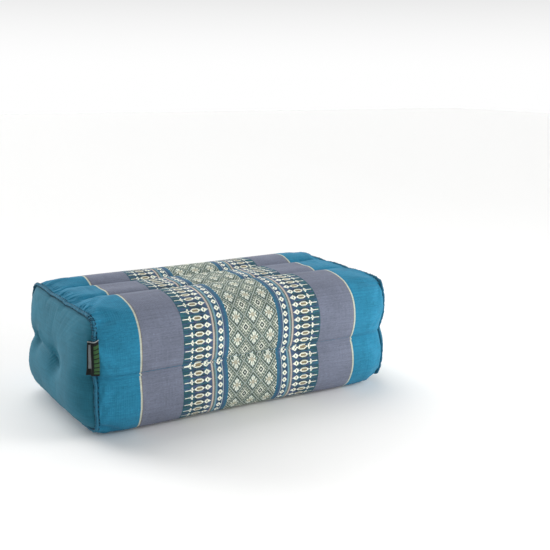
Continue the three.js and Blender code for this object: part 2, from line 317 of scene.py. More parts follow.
# Rows of the spear band, from a motif's middle row out: margin, tail, fork, hexagon, diamond, lines, chain
spearRows = [
    "ttlccccccccccckcccgcccooooooooooocccgcccckkccccccupwwpkyybbnccckkkcccluuussseee",
    "ttttttttttttckcctttkcccoooooooooccckkncccggccccuuupwwpkyybbnncccocccnluuussseee",
    "tttttttttttttccctttkkkccccccccccckkkknnccccccuuuuupwwpkyybbnnncccccnnluuussseee",
    "ttttttttttttttcctttkkkkkgggggggkkkkkknnnnccnnuuuuupwwpkyybbnnnncccnnnluuussseee",
    "tttttttttttttttttttkkkkkkkkkkkkkkkkkkkkkkkkkuuuuuupwwpkyybbnnnnnknnnnluuussseee",
    "nnnnnnnnnnnnnnnnnnnnnnnnnnnnnnnnnnnnnnnnnnnnuuuuuupwwpkyybbnnnnkkknnnluuussseee",
]
# A quarter of a flower, by rows from its middle out and columns from its middle out
flowerRows = [
    "aaaoooofllfffjgl", "aaaiiiofflffjgl", "aaofiiifffjjgl", "aiiffiiiffjgl",
    "hiifffiffjgl", "hiiifffjjgl", "hiiiffjjgl", "liiijfjgl",
    "lljjffgl", "lljjjgl", "ffjjgl", "fjjgl",
    "fjgl", "jgl", "gl", "l",
]
# Rings of the diamond cell from its middle out. B and D are dotted, with a pattern of three picks
diamondRings = "iijjjiihjBBgDDjl"
ringDots = dict(B="fgi", D="hfj")


def letterGrid(rows, width):  # short rows are filled up with points
    return np.array([list(r.ljust(width, ".")[:width]) for r in rows])


def bandLetters(row, column):
    # The spear rows repeat every ten picks and mirror about their middle pick
    repeat = weave["bandRepeat"]
    away = np.abs((row + repeat // 2) % repeat - repeat // 2)
    return letterGrid(spearRows, weave["bandColumns"])[away, column]


def latticeLetters(row, column):
    # Rhombs of flowers and diamonds by turns; the distance from a middle is |columns| + |rows|
    half, repeat = weave["repeat"] // 2, weave["repeat"]
    c = (column + half) % repeat - half
    r = (row - weave["flowerRow"] + half) % repeat - half
    flower = np.abs(c) + np.abs(r) <= half
    letters = letterGrid(flowerRows, half + 1)[np.abs(r) % (half + 1), np.abs(c) % (half + 1)]
    letters = np.where(letters == ".", "l", letters)
    dc, dr = half - np.abs(c), half - np.abs(r)
    ring = clamp(np.abs(dc) + np.abs(dr), 0, half).astype(int)
    rings = np.array(list(diamondRings))[ring]
    for mark, dots in ringDots.items():
        rings = np.where(rings == mark, np.array(list(dots))[np.abs(dr) % len(dots)], rings)
    return np.where(flower, letters, rings)


def chartLetters(row, column):
    # Spear band, lattice, and the band again in mirror; the lattice's middle column is a flower's middle
    band, lattice = weave["bandColumns"], weave["latticeColumns"]
    row, column = np.broadcast_arrays(row, column)
    near = np.minimum(column, 2 * band + lattice - 1 - column)
    inBand = near < band
    letters = bandLetters(row, np.where(inBand, near, 0))
    return np.where(inBand, letters, latticeLetters(row, column - band - lattice // 2))


def columnEdges():
    # Column edges with a letter for each column; the patterned zone's letter is P
    turned = np.linspace(0, np.pi / 2, weave["shoulderColumns"], endpoint=False)
    shoulder = endLine - swells["shoulder"] * (1 - np.cos(turned))
    flat = endLine - swells["shoulder"]
    left, right, line, edge = (weave[k] for k in ("lineLeft", "lineRight", "creamLine", "edge"))
    start = weave["left"]
    end = start + weave["cell"] * (2 * weave["bandColumns"] + weave["latticeColumns"])
    stops = (-flat, left, left + line, left + line + edge, start,
             end, right - edge, right, right + line, flat)
    counts = weave["stripeColumns"]
    stripes = [np.linspace(*span, endpoint=False) for span in zip(stops, stops[1:], counts)]
    ends = "T" * len(shoulder)
    kinds = ends + "".join(k * n for k, n in zip(weave["stripes"], counts)) + ends
    return np.concatenate([-shoulder, *stripes, shoulder[::-1], [endLine]]), kinds


def dyedCells(kinds, rows):
    # One colour a cell: the chart in the patterned zone and the stripe's own colour elsewhere
    kinds = np.array(list(kinds))[:, None]
    column = np.arange(len(kinds))[:, None] - int(np.argmax(kinds[:, 0] == "P"))
    count = 2 * weave["bandColumns"] + weave["latticeColumns"]
    inside = (column >= 0) & (column < count)
    letters = np.where(inside, chartLetters(rows[None, :], clamp(column, 0, count - 1).astype(int)),
                       np.broadcast_to(kinds, (len(kinds), len(rows))))
    names = np.array(sorted(dyes))
    colours = np.array([linear(dyes[name]) for name in names])[np.searchsorted(names, letters)]
    # Streaks fade from one yarn to the next along a pick, each a few millimetres long
    stops = np.linspace(0, len(kinds) // streaks["spacing"], len(kinds))
    whole, part = stops.astype(int), (stops % 1)[:, None]
    noise = seed.random((2, whole.max() + 2, len(rows)))
    strength, choice = mix(noise[:, whole], noise[:, whole + 1], part)
    yarns = np.array([linear(c) for c in streaks["yarns"]])
    yarn = yarns[(choice * (len(yarns) - 0.001)).astype(int)]
    weight = smoothStep((strength - streaks["start"]) / streaks["ease"]) * streaks["strength"]
    colours = mix(colours, yarn, (weight * np.isin(letters, list(streaked)))[..., None])
    tone = 1 + streaks["cellTone"] * seed.standard_normal(letters.shape)
    tone = tone + streaks["pickTone"] * seed.standard_normal(len(rows))[None, :]
    colours[..., :3] *= clamp(tone, *streaks["toneRange"])[..., None]
    return letters, colours


# Materials

waveScale = np.pi / 10  # a wave texture of this scale has one band a unit
yarnTone = dict(noise=(0.35, 0.65), brightness=(0.8, 1.2))  # the spread of one noise, and what it is turned to
# The size of each noise along x, y and z, in millimetres: a slub is long one way and a yarn thick the others
slubs = dict(
    woven=((16, 0.8, 1), (0.7, 22, 1), (34, 26, 1)),
    plain=((25, 25, 10 / 13), (5 / 7, 5 / 7, 200 / 9), (100 / 3, 100 / 3, 25)),
    thread=((10 / 9, 10 / 9, 10 / 9), (10 / 3, 10 / 3, 10 / 3)),
    ribbon=((0.4, 0.4, 50 / 3), (50 / 3, 50 / 3, 0.4)),
)


def newMaterial(name):
    material = bpy.data.materials.new(name)
    material.use_nodes = True
    material.node_tree.nodes.clear()
    return material, material.node_tree


def yarnShade(tree, place, kind, unit):
    # The sum of noises stretched to each slub's size, turned to a brightness near one
    total = None
    for size in slubs[kind]:
        scale = tuple(unit / s for s in size)
        stretched = addNode(tree, "ShaderNodeMapping", {"Vector": place, "Scale": scale}).outputs[0]
        noise = addNode(tree, "ShaderNodeTexNoise", {"Vector": stretched, "Scale": 1.0,
                                                     "Detail": 3.0}).outputs[0]
        total = noise if total is None else addNode(tree, "ShaderNodeMath", {0: total, 1: noise}).outputs[0]
    low, high = (n * len(slubs[kind]) for n in yarnTone["noise"])
    dark, bright = yarnTone["brightness"]
    return addNode(tree, "ShaderNodeMapRange", {"Value": total, "From Min": low, "From Max": high,
                                                "To Min": dark, "To Max": bright}, clamp=False).outputs[0]


def finishCloth(material, tree, dye, shade, height, bump, distance):
    # Cotton: its dye lighter and darker by the yarn, rough and hardly shiny, with a trace of fuzz
    colour = addNode(tree, "ShaderNodeVectorMath", {0: dye, "Scale": shade}, operation="SCALE").outputs[0]
    normal = addNode(tree, "ShaderNodeBump", {"Strength": bump, "Distance": distance,
                                              "Height": height}).outputs[0]
    shader = addNode(tree, "ShaderNodeBsdfPrincipled", {
        "Base Color": colour, "Roughness": 0.9, "Specular IOR Level": 0.15, "Sheen Weight": 0.04,
        "Sheen Roughness": 0.6, "Normal": normal}).outputs[0]
    addNode(tree, "ShaderNodeOutputMaterial", {"Surface": shader})
    return material


def wovenCotton():
    # Handwoven cotton with coloured floats: matt, with fine ribs and uneven yarn both ways
    material, tree = newMaterial("wovenKhitCotton")
    cloth = addNode(tree, "ShaderNodeUVMap", uv_map="cloth").outputs[0]  # in millimetres
    dye = addNode(tree, "ShaderNodeAttribute", attribute_name="dye").outputs["Color"]
    shade = yarnShade(tree, cloth, "woven", 1)
    onePick = (1, 1 / weave["pick"], 1)
    ribPlace = addNode(tree, "ShaderNodeMapping", {"Vector": cloth, "Scale": onePick}).outputs[0]
    ribs = addNode(tree, "ShaderNodeTexWave", {
        "Vector": ribPlace, "Scale": waveScale, "Distortion": 0.6, "Detail": 1.0, "Detail Scale": 0.3},
        bands_direction="Y").outputs[1]
    height = addNode(tree, "ShaderNodeMath", {0: ribs, 1: shade}, operation="ADD").outputs[0]
    return finishCloth(material, tree, dye, shade, height, bump=0.3, distance=0.2 * mm)


def plainCotton(name, kind, hexColour=None, bump=0.3):
    # Plain cloth of slubs along its yarns. With no colour it shows the dye woven into the piece
    material, tree = newMaterial(name)
    place = addNode(tree, "ShaderNodeTexCoord").outputs["Object"]
    shade = yarnShade(tree, place, kind, 1 / mm)
    if hexColour:
        dye = addNode(tree, "ShaderNodeRGB").outputs[0]
        dye.default_value = linear(hexColour)
    else:
        dye = addNode(tree, "ShaderNodeAttribute", attribute_name="dye").outputs["Color"]
    return finishCloth(material, tree, dye, shade, shade, bump=bump, distance=0.4 * mm)


khitCotton = wovenCotton()
panelCotton = plainCotton("plainTealCotton", "plain", "276a7f")  # matt, with a slow change of tone
seamCotton = plainCotton("foldedSeamCotton", "plain", "29667f", bump=0.5)  # the same, creased by folding
seamThread = plainCotton("waxedCottonThread", "thread", "173243")  # dark, with an even twist
ribbon = plainCotton("wovenSatinRibbon", "ribbon")  # close woven, with fine ribs both ways

# Cloth settled by simulation: the filling presses it out while its seams hold it

filling = dict(pressure=4.0, slack=0.03, panelSlack=0.02, frames=20, quality=6, bending=0.1, goal=0.1,
               cap=2.2, columns=99, rowSize=3.0, panelColumns=57, panelRows=37, panelShare=0.2,
               pinRadius=4.0, clear=2.5, endReach=62.0, endShare=1.6, lineReach=9.0, lineShare=0.35)


def settle(name, points, faces, pinned, slack):
    # Cloth cut larger than its shape by the slack, sewn down where it is pinned and held loosely by its
    # filling elsewhere; gives the move of each point of its grid, eased to a cap
    places = points.reshape(-1, 3)
    mesh = bpy.data.meshes.new(name)
    mesh.from_pydata((places * mm).tolist(), [], faces.tolist())
    cloth = bpy.data.objects.new(name, mesh)
    bpy.context.collection.objects.link(cloth)
    held = cloth.vertex_groups.new(name="held")
    held.add(list(range(len(places))), filling["goal"], "REPLACE")
    held.add(np.flatnonzero(pinned).tolist(), 1.0, "REPLACE")
    modifier = cloth.modifiers.new("settle", "CLOTH")
    settings = modifier.settings
    settings.quality = filling["quality"]
    settings.vertex_group_mass = "held"
    settings.bending_stiffness = filling["bending"]
    settings.use_pressure = True
    settings.uniform_pressure_force = filling["pressure"]
    settings.shrink_min = -slack
    settings.effector_weights.gravity = 0
    modifier.collision_settings.use_collision = False
    modifier.point_cache.frame_start = 1
    modifier.point_cache.frame_end = filling["frames"]
    scene = bpy.context.scene
    for number in range(1, filling["frames"] + 1):
        scene.frame_set(number)
    settled = cloth.evaluated_get(bpy.context.evaluated_depsgraph_get()).to_mesh()
    after = np.empty(places.size, np.float32)
    settled.vertices.foreach_get("co", after)
    scene.frame_set(1)
    bpy.data.objects.remove(cloth)
    bpy.data.meshes.remove(mesh)
    move = after.reshape(-1, 3) / mm - places
    size = np.maximum(np.linalg.norm(move, axis=1, keepdims=True), 1e-6)
    print("settled", name, "mean move", round(float(size.mean()), 2), "most", round(float(size.max()), 2))
    return (move * (filling["cap"] * np.tanh(size / filling["cap"]) / size)).reshape(points.shape)


def finerMoves(moves, columnShares, rowShares):
    # Moves of a coarse grid, blended onto the finer columns and rows
    columns, rows = moves.shape[:2]
    across, around = splineWeights(columnShares, columns), splineWeights(rowShares, rows)
    return np.einsum("ca,abk,rb->crk", across, moves, around)


# The six padded tubes

# start, end: turns of the stitched lines; first: the chart's row at the first line;
# rows: picks between the lines; sway: how far the weave leans along the length at each line
tubes = {
    "front_tube_upper": dict(start=0, end=5 / 24, first=0, rows=158, sway=(0.0, -1.4)),
    "middle_tube_upper": dict(start=5 / 24, end=7 / 24, first=158, rows=66, sway=(-1.4, -1.0)),
    "back_tube_upper": dict(start=7 / 24, end=0.5, first=224, rows=152, sway=(-1.0, 0.0)),
    "back_tube_lower": dict(start=0.5, end=17 / 24, first=5, rows=143, sway=(0.6, 0.0)),
    "middle_tube_lower": dict(start=17 / 24, end=19 / 24, first=148, rows=82, sway=(0.0, 0.0)),
    "front_tube_lower": dict(start=19 / 24, end=1.0, first=-141, rows=144, sway=(0.0, -1.1)),
}
# Row edges near a stitched line, in picks, and the walls that close a tube inside
crease = dict(firstPick=(0, 0.1, 0.25, 0.45, 0.7), depth=2.4, width=0.6, endEase=12.0, gap=0.15, wallRows=5,
              wallPicks=12, wallShare=0.04, capShare=0.015, capSize=100, arcSteps=500)
# Long gathers and fine ones run in from the end seams, and short ones cross the stitched lines. For each:
# its height, how far it reaches, where it starts off the end and off a line, and its spacings and phases
puckers = dict(topStart=0.75, front=0.4, shift=40.0, slant=2.0,
               long=(0.85, 22.0, 2.5, 4.0, (5.3, 8.1, 3.7), (1.0, 2.1, 0.7)),
               fine=(0.3, 20.0, 1.5, 3.0, (5.9, 8.7, 4.3), (1.3, 0.4, 1.0)),
               short=(0.25, 6.0, 15.0, 1.5, (9.3, 6.1, 14.7), (0.3, 1.9, 4.4)))


def pickLines(rows):
    # Row edges in picks, with more of them where the cloth turns in at the stitched lines
    near = np.array(crease["firstPick"])
    return np.concatenate([near, np.arange(1, rows), rows - near[::-1]])


def evenRows(x, tube, shares):
    # Turns that cut each column's arc, between two stitched lines, at the given shares of its length
    dense = np.linspace(tube["start"], tube["end"], crease["arcSteps"])
    arc = wrapPoint(x[:, None], dense[None, :])
    steps = np.linalg.norm(np.diff(arc, axis=1), axis=-1)
    run = np.concatenate([np.zeros((len(x), 1)), np.cumsum(steps, 1)], 1)
    line = 2 * np.arange(len(x))[:, None]
    wanted, reached = shares[None, :] + line, run / run[:, -1:] + line
    turns = np.interp(wanted.ravel(), reached.ravel(), np.tile(dense, len(x)))
    return turns.reshape(len(x), len(shares)), run[:, -1]


def settledMoves(name, tube, x, shares, girth):
    # The tube's cloth is settled on a coarse grid, held at its stitched lines and ends
    rows = int(girth.mean() / filling["rowSize"]) + 1
    coarseX = endLine * crowded(filling["columns"])
    turns, _ = evenRows(coarseX, tube, np.linspace(0, 1, rows))
    points = wrapPoint(coarseX[:, None], turns)
    pinned = np.zeros(points.shape[:2], bool)
    pinned[[0, -1]] = True
    pinned[:, [0, -1]] = True
    faces = gridFaces(len(coarseX), rows)[:, ::-1]
    moves = settle(name, points, faces, pinned, filling["slack"])
    return finerMoves(moves, np.interp(x, coarseX, np.linspace(0, 1, len(coarseX))), shares)


def gatherHeights(tube, x, turns, share, girth, away, fromEnd):
    # Each kind of gather is a sum of sines that fades with the distance from its seam. The fine ones take
    # the root of theirs, which makes their valleys sharp. Those at the ends are strongest on top
    onTop = smoothStep((squareEdge(turns)[1] - puckers["topStart"]) / (1 - puckers["topStart"]))
    shift = tube["end"] * puckers["shift"] + np.sign(x)[:, None]
    heights = 0
    for kind in ("long", "fine"):
        height, reach, endEase, lineEase, spacings, phases = puckers[kind]
        ripple = waves(share * girth.mean(), spacings, [p * shift for p in phases])
        if kind == "fine":
            ripple = 2 * np.sqrt(np.abs(ripple)) - 1
        fade = smoothStep(fromEnd / endEase) * dipShape(fromEnd, reach) * smoothStep(away / lineEase)
        heights = heights + height * ripple * fade * mix(puckers["front"], 1, onTop)
    height, reach, endEase, lineEase, spacings, (first, *others) = puckers["short"]
    ripple = waves(x[:, None] + puckers["slant"] * share, spacings, (first + shift, *others))
    fade = np.exp(-away / reach) * smoothStep(away / lineEase) * smoothStep(fromEnd / endEase)
    return heights + height * ripple * fade


def tubeShape(name, x, tube):
    # The strip between two stitched lines: settled, gathered at the end seams, drawn in sharply at both lines.
    # Its weave leans by the tube's sway over most of the length, and not at all at the ends
    share = pickLines(tube["rows"]) / tube["rows"]
    turns, girth = evenRows(x, tube, share)
    lean = mix(*tube["sway"], smoothStep(share))[None, :] * (1 - (x / endLine) ** 4)[:, None]
    strip = wrapPoint(x[:, None] + lean, turns)
    share = share[None, :]
    away = np.minimum(share, 1 - share) * girth[:, None]
    fromEnd = (endLine - np.abs(x))[:, None]
    # The settled folds show near the ends and the stitched lines; the middle stays taut
    atEnds = dipShape(fromEnd, filling["endReach"]) * filling["endShare"]
    atLines = np.exp(-away / filling["lineReach"]) * filling["lineShare"]
    folds = clamp(np.maximum(atEnds, atLines))
    folds = folds * smoothStep(away / filling["clear"]) * smoothStep(fromEnd / filling["clear"])
    strip = strip + settledMoves(name, tube, x, share[0], girth) * folds[..., None]
    inward = crease["depth"] * np.exp(-away / crease["width"]) * smoothStep(fromEnd / crease["endEase"])
    heights = gatherHeights(tube, x, turns, share, girth, away, fromEnd) - inward
    strip = strip - surfaceNormals(strip) * heights[..., None]
    strip[..., 2] = np.maximum(strip[..., 2], 0)
    return strip


def tubeWalls(x, strip, tube):
    # Straight inner walls from the strip's last line to the inner corners and back to its first line
    level = block["middle"] + (crease["gap"] if tube["start"] < 0.5 else -crease["gap"])
    corners = []
    for line in (tube["end"], tube["start"]):
        if line not in (0, 0.5, 1.0):
            across, _ = girthPlace(np.full(len(x), float(line)), x)
            corners.append(np.stack([strip[:, 0, 0], across * halfDepth, np.full(len(x), level)], -1))
    stops = [strip[:, -1], *corners, strip[:, 0]]
    shares = np.linspace(0, 1, crease["wallRows"] + 1)[1:]
    walls = [mix(a[:, None], b[:, None], shares[None, :, None]) for a, b in zip(stops, stops[1:])]
    return np.concatenate(walls, 1)[:, :-1]


def insetEdges(strip):
    # Each strip stops just short of its stitched line, so two tubes never share a face
    for edge, beside in ((0, 1), (-1, -2)):
        strip[:, edge] += crease["gap"] * unitLength(strip[:, beside] - strip[:, edge])
    return strip


def cellCorners(column, row, across, around):
    # The places of each cell's four corners. They are given out a quarter turn round, so a rib crosses its pick
    us = across[np.stack([column, column, column + 1, column + 1], 1)]
    vs = around[np.stack([row, row + 1, row + 1, row], 1)]
    return np.stack([us, vs], -1).reshape(-1, 2)


def tubeLayers(x, tube, lines, around):
    # "cloth" is the weave's place in mm, and "OFBake" fills the unit square for the export: the strip,
    # then the walls, with the end caps in narrow margins
    column, row = np.divmod(np.arange((len(x) - 1) * around), around)
    wallCount = around + 1 - len(lines)
    picks = np.concatenate([lines, tube["rows"] + crease["wallPicks"] * np.arange(1, wallCount + 1)])
    cloth = cellCorners(column, row, x, (picks + tube["first"]) * weave["pick"])
    cap, stripShare = crease["capShare"], 1 - crease["wallShare"]
    flatX = cap + (1 - 2 * cap) * (x - x[0]) / (x[-1] - x[0])
    flatAround = np.concatenate([lines / tube["rows"] * stripShare,
                                 np.linspace(stripShare, 1, wallCount + 1)[1:]])
    a, b = np.arange(around) / around, np.arange(1, around + 1) / around
    fans = []
    for near, far, order in ((0.0, cap, 1), (1.0, 1 - cap, -1)):
        fan = [np.stack([np.full(around, u), v], -1) for u, v in ((near, (a + b) / 2), (far, a), (far, b))]
        fans += np.stack(fan[::order], 1).reshape(-1, 2).tolist()
    flat = np.concatenate([cellCorners(column, row, flatX, flatAround), fans])
    return {"cloth": np.concatenate([cloth, np.multiply(fans, crease["capSize"])]), "OFBake": flat}


def makeTube(name, tube):
    # The dyed strip, its inner walls, and a fan of faces over each end
    x, kinds = columnEdges()
    strip = tubeShape(name, x, tube)
    lines = pickLines(tube["rows"])
    rows = tube["first"] + np.floor((lines[1:] + lines[:-1]) / 2).astype(int)
    letters, colours = dyedCells(kinds, rows)
    # Floats stand a little proud: each corner takes the mean of the four cells round it
    proud = np.pad(np.isin(letters, list(raised)).astype(float), 1, mode="edge")
    corner = (proud[:-1, :-1] + proud[1:, :-1] + proud[:-1, 1:] + proud[1:, 1:]) / 4
    strip = insetEdges(strip - surfaceNormals(strip) * (weave["relief"] * corner)[..., None])
    loop = np.concatenate([strip, tubeWalls(x, strip, tube)], 1)
    columns, around = loop.shape[:2]
    faces = gridFaces(columns, around, wrapRows=True)[:, ::-1].tolist()
    for end, middle, order in ((0, columns * around, 1), (columns - 1, columns * around + 1, -1)):
        ring = end * around + np.arange(around)
        fan = np.stack([np.full(around, middle), ring, np.roll(ring, -1)], -1)
        faces += fan[:, ::order].tolist()
    points = np.concatenate([loop.reshape(-1, 3), loop[[0, -1]].mean(1)])
    ground = np.array(linear(dyes["T"]))
    wallTint = np.broadcast_to(ground, (columns - 1, around + 1 - len(lines), 4))
    tints = np.concatenate([np.concatenate([colours, wallTint], 1).reshape(-1, 4),
                            np.broadcast_to(ground, (2 * around, 4))])
    piece = makePiece(name, points, faces, khitCotton, tubeLayers(x, tube, lines, around), tints)
    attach(piece, "root")
    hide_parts("cushion_body")


for name, tube in tubes.items():
    makeTube(name, tube)
print("six padded tubes")

# The end panels

# dimples: where each drawn-in point is, across and up from the panel's middle, and how deep
panel = dict(upperSwell=12.2, lowerSwell=18.9, swellChange=(0.5, 0.7), shoulderDepth=34.0,
             shoulderHeight=30.5, thickness=1.4, bow=1.6, dimples=((50.0, 2.3, 6.3), (-11.0, -3.6, 7.2)),
             radius=11.7, falloff=1.5, crease=3.6, creaseWidth=7.2, creaseFade=22.0, columns=221, rows=161)
# The two drawn-in points pull the cloth into one bent fold: a lip with a hollow and a few pleats under it
fold = dict(depths=(0.8, -1.8), radius=7.0, lipSteps=90,
            lip=((40, 22), (35, 15), (27, 10.5), (14, 8), (1, 5.5), (-8, 2), (-15, -2.5), (-23, -9)),
            lipHeight=2.6, dropWidth=1.5, rollWidth=2.8, lipFade=(0.3, 0.15),
            hollow=2.8, hollowWidth=2.2, hollowOffset=3.6, hollowWay=(0.55, -0.84), hollowFade=(0.25, 0.25),
            pleat=0.6, pleatSpacing=3.3, pleatWay=(0.72, 0.69), pleatMiddle=(0.5, -1.0), pleatRadius=8.0,
            gather=0.4, gatherSpacings=(7.3, 4.9, 11.0), gatherPhases=(0.2, 1.7, 3.9), gatherTurn=60,
            gatherReach=12.0, gatherStart=3.0, flattening=1.6)


def awayFromLine(y, z, line):
    # Distance to a smooth line through a few points, and how far along it the nearest spot is, from 0 to 1
    share = np.linspace(0, 1, fold["lipSteps"])
    path = splineWeights(share, len(line)) @ np.array(line, float)
    apart = np.hypot(y[..., None] - path[:, 0], z[..., None] - path[:, 1])
    nearest = apart.argmin(-1)
    return np.take_along_axis(apart, nearest[..., None], -1)[..., 0], share[nearest]


def fadeEnds(along, shares):  # up from 0 over the first share and down to 0 over the last
    return smoothStep(along / shares[0]) * smoothStep((1 - along) / shares[1])


def panelFolds(y, z, edge):
    # How far the cloth is drawn in past the plain dome: two points, the fold between them, pleats across it,
    # and gathers that run in from the seam
    drawn = 0
    for (dy, dz, _), depth in zip(panel["dimples"], fold["depths"]):
        drawn = drawn + depth * bellShape(np.hypot(y - dy, z - dz), fold["radius"])
    # The lip rolls over softly above and drops sharply to the hollow below
    away, along = awayFromLine(y, z, fold["lip"])
    offset, (wayY, wayZ) = fold["hollowOffset"], fold["hollowWay"]
    under, alongUnder = awayFromLine(y - wayY * offset, z - wayZ * offset, fold["lip"])
    width = mix(fold["rollWidth"], fold["dropWidth"], smoothStep((away - under + offset) / offset))
    drawn = drawn - fold["lipHeight"] * bellShape(away, width) * fadeEnds(along, fold["lipFade"])
    dip = fold["hollow"] * bellShape(under, fold["hollowWidth"])
    drawn = drawn + dip * fadeEnds(alongUnder, fold["hollowFade"])
    (middleY, middleZ), (wayY, wayZ) = fold["pleatMiddle"], fold["pleatWay"]
    near = bellShape(np.hypot(y - middleY, z - middleZ), fold["pleatRadius"])
    drawn = drawn + fold["pleat"] * np.cos(2 * np.pi * (wayY * y + wayZ * z) / fold["pleatSpacing"]) * near
    turned = np.arctan2(z * fold["flattening"], y) * fold["gatherTurn"]
    gathers = fold["gather"] * waves(turned, fold["gatherSpacings"], fold["gatherPhases"])
    return drawn + gathers * np.exp(-edge / fold["gatherReach"]) * smoothStep(edge / fold["gatherStart"])


def panelPoint(side, across, up, below, folded=False):
    # A shallow dome, fuller below than above, with two drawn-in points and a crease between them. The seam's
    # offsets fade inwards as the third power of the share across, and its bow as the eighth
    halfY = halfDepth - block["ridgeClear"] - below
    halfZ = halfHeight - block["ridgeClear"] - below
    y = across * halfY + np.sign(across) * np.abs(across) ** 3 * sideOffset(up)
    z = up * halfZ + np.sign(up) * np.abs(up) ** 3 * topOffset(across, side * halfLength, up > 0)
    nearSide = clamp(1 - (1 - np.abs(across)) * halfY / panel["shoulderDepth"])
    nearTop = clamp(1 - (1 - np.abs(up)) * halfZ / panel["shoulderHeight"])
    shoulder = np.sqrt(1 - nearSide ** 2) * np.sqrt(1 - nearTop ** 2)
    level, slope = panel["swellChange"]
    swell = mix(panel["upperSwell"], panel["lowerSwell"], smoothStep(level - slope * up))
    for dy, dz, dip in panel["dimples"]:
        swell = swell - dip * np.exp(-(np.hypot(y - dy, z - dz) / panel["radius"]) ** panel["falloff"])
    (firstY, firstZ, _), (lastY, lastZ, _) = panel["dimples"]
    creaseZ = mix(lastZ, firstZ, clamp((y - lastY) / (firstY - lastY)))
    depth = panel["crease"] * (1 - clamp((lastY - y) / panel["creaseFade"]))
    swell = swell - depth * np.exp(-(np.abs(z - creaseZ) / panel["creaseWidth"]) ** panel["falloff"])
    bow = panel["bow"] * np.maximum(np.abs(across) ** 8 * np.sin(np.pi * np.abs(up)),
                                    np.abs(up) ** 8 * np.cos(np.pi / 2 * across))
    if folded:
        swell = swell - panelFolds(y, z, np.minimum((1 - np.abs(across)) * halfY, (1 - np.abs(up)) * halfZ))
    x = side * (halfLength - below + bow + swell * shoulder)
    return np.stack([x + 0 * y, y, block["middle"] + z], -1)


def closedSheet(outer, inner, flip):
    # Two grids of one size back to back, and a rim between their edges
    columns, rows = outer.shape[:2]
    count = columns * rows
    front = gridFaces(columns, rows)
    back = gridFaces(columns, rows, count)[:, ::-1]
    index = np.arange(count).reshape(columns, rows)
    edge = np.concatenate([index[:, 0], index[-1, 1:], index[-2::-1, -1], index[0, -2:0:-1]])
    after = np.roll(edge, -1)
    rim = np.stack([after, edge, edge + count, after + count], -1)
    faces = np.concatenate([front, back, rim])
    return np.concatenate([outer.reshape(-1, 3), inner.reshape(-1, 3)]), faces[:, ::-1] if flip else faces


def panelMoves(name, side):
    # The panel's cloth is settled on a coarse grid, held at its rim and at the two drawn-in points
    columns, rows = filling["panelColumns"], filling["panelRows"]
    across, up = np.meshgrid(crowded(columns), crowded(rows), indexing="ij")
    coarse = panelPoint(side, across, up, 0.0)
    pinned = (np.abs(across) == 1) | (np.abs(up) == 1)
    for dy, dz, _ in panel["dimples"]:
        pinned |= np.hypot(coarse[..., 1] - dy, coarse[..., 2] - block["middle"] - dz) < filling["pinRadius"]
    faces = gridFaces(columns, rows)
    if side < 0:
        faces = faces[:, ::-1]
    moves = settle(name, coarse, faces, pinned, filling["panelSlack"])
    shares = [np.linspace(0, 1, panel[count]) for count in ("columns", "rows")]
    return finerMoves(moves, *shares) * filling["panelShare"]


for side, label in ((-1, "left"), (1, "right")):
    across, up = np.meshgrid(crowded(panel["columns"]), crowded(panel["rows"]), indexing="ij")
    sheets = [panelPoint(side, across, up, below, folded=True) for below in (0.0, panel["thickness"])]
    moves = panelMoves(f"end_cloth_{label}", side)
    sheets = [sheet + moves for sheet in sheets]
    piece = makePiece(f"end_cloth_{label}", *closedSheet(*sheets, side < 0), panelCotton)
    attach(piece, "root")
    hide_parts(f"end_panel_{label}")
print("end panels")

# The raised end seams

ridge = dict(radius=1.42, stand=1.0, sides=14, foldRadius=1.4, foldStand=-0.35, foldSides=6, steps=560,
             denseSteps=4000, rounds=6, bumps=0.3, bumpSpacings=(6.1, 3.9, 9.7), bumpPhases=(0.4, 2.1, 4.0),
             wander=0.45, wanderSpacings=(17.0, 9.1, 29.0), wanderPhases=(1.1, 0.3, 2.0))
# Lines: how far each row of stitches stands endwise and outwards of the seam
stitching = dict(length=3.0, pitch=4.1, radius=0.33, sides=6, rings=7, jitter=0.5, arch=0.25, sink=0.15,
                 lines=((-1.6, 1.1), (2.1, -0.3)))
overcast = dict(first=36.5, last=60.0, count=8, slant=2.2, lift=0.35, turn=(-0.9, 2.6), rings=14, jitter=0.6)


def ridgePath(side):
    # The seam's rectangle, walked at even steps; its corners turn over a few millimetres, not at a point
    dense = np.linspace(0, 1, ridge["denseSteps"], endpoint=False)
    x = np.full(len(dense), side * halfLength)
    across, up = girthPlace(dense, x)
    y, z, bow = seamLine(across, up, x)
    line = np.stack([side * (halfLength + bow), y, block["middle"] + z], -1)
    stepLengths = np.linalg.norm(np.roll(line, -1, 0) - line, axis=1)
    run = np.concatenate([[0], np.cumsum(stepLengths)])
    wanted = np.linspace(0, run[-1], ridge["steps"], endpoint=False)
    closed = np.concatenate([line, line[:1]])
    even = np.stack([np.interp(wanted, run, closed[:, k]) for k in range(3)], -1)
    for _ in range(ridge["rounds"]):
        even = (np.roll(even, 1, 0) + 2 * even + np.roll(even, -1, 0)) / 4
    return even, wanted


def pathWays(path):
    # Along a closed path that lies across the length, and outwards from it
    along = np.roll(path, -1, 0) - np.roll(path, 1, 0)
    along[:, 0] = 0
    along = unitLength(along)
    return along, np.stack([np.zeros(len(path)), -along[:, 2], along[:, 1]], -1)


def atRun(where, run, values):
    # Values of a closed path, read at any distance along it
    total = run[-1] + run[1]
    closed = np.concatenate([values, values[:1]])
    return np.stack([np.interp(where % total, np.append(run, total), closed[:, k]) for k in range(3)], -1)


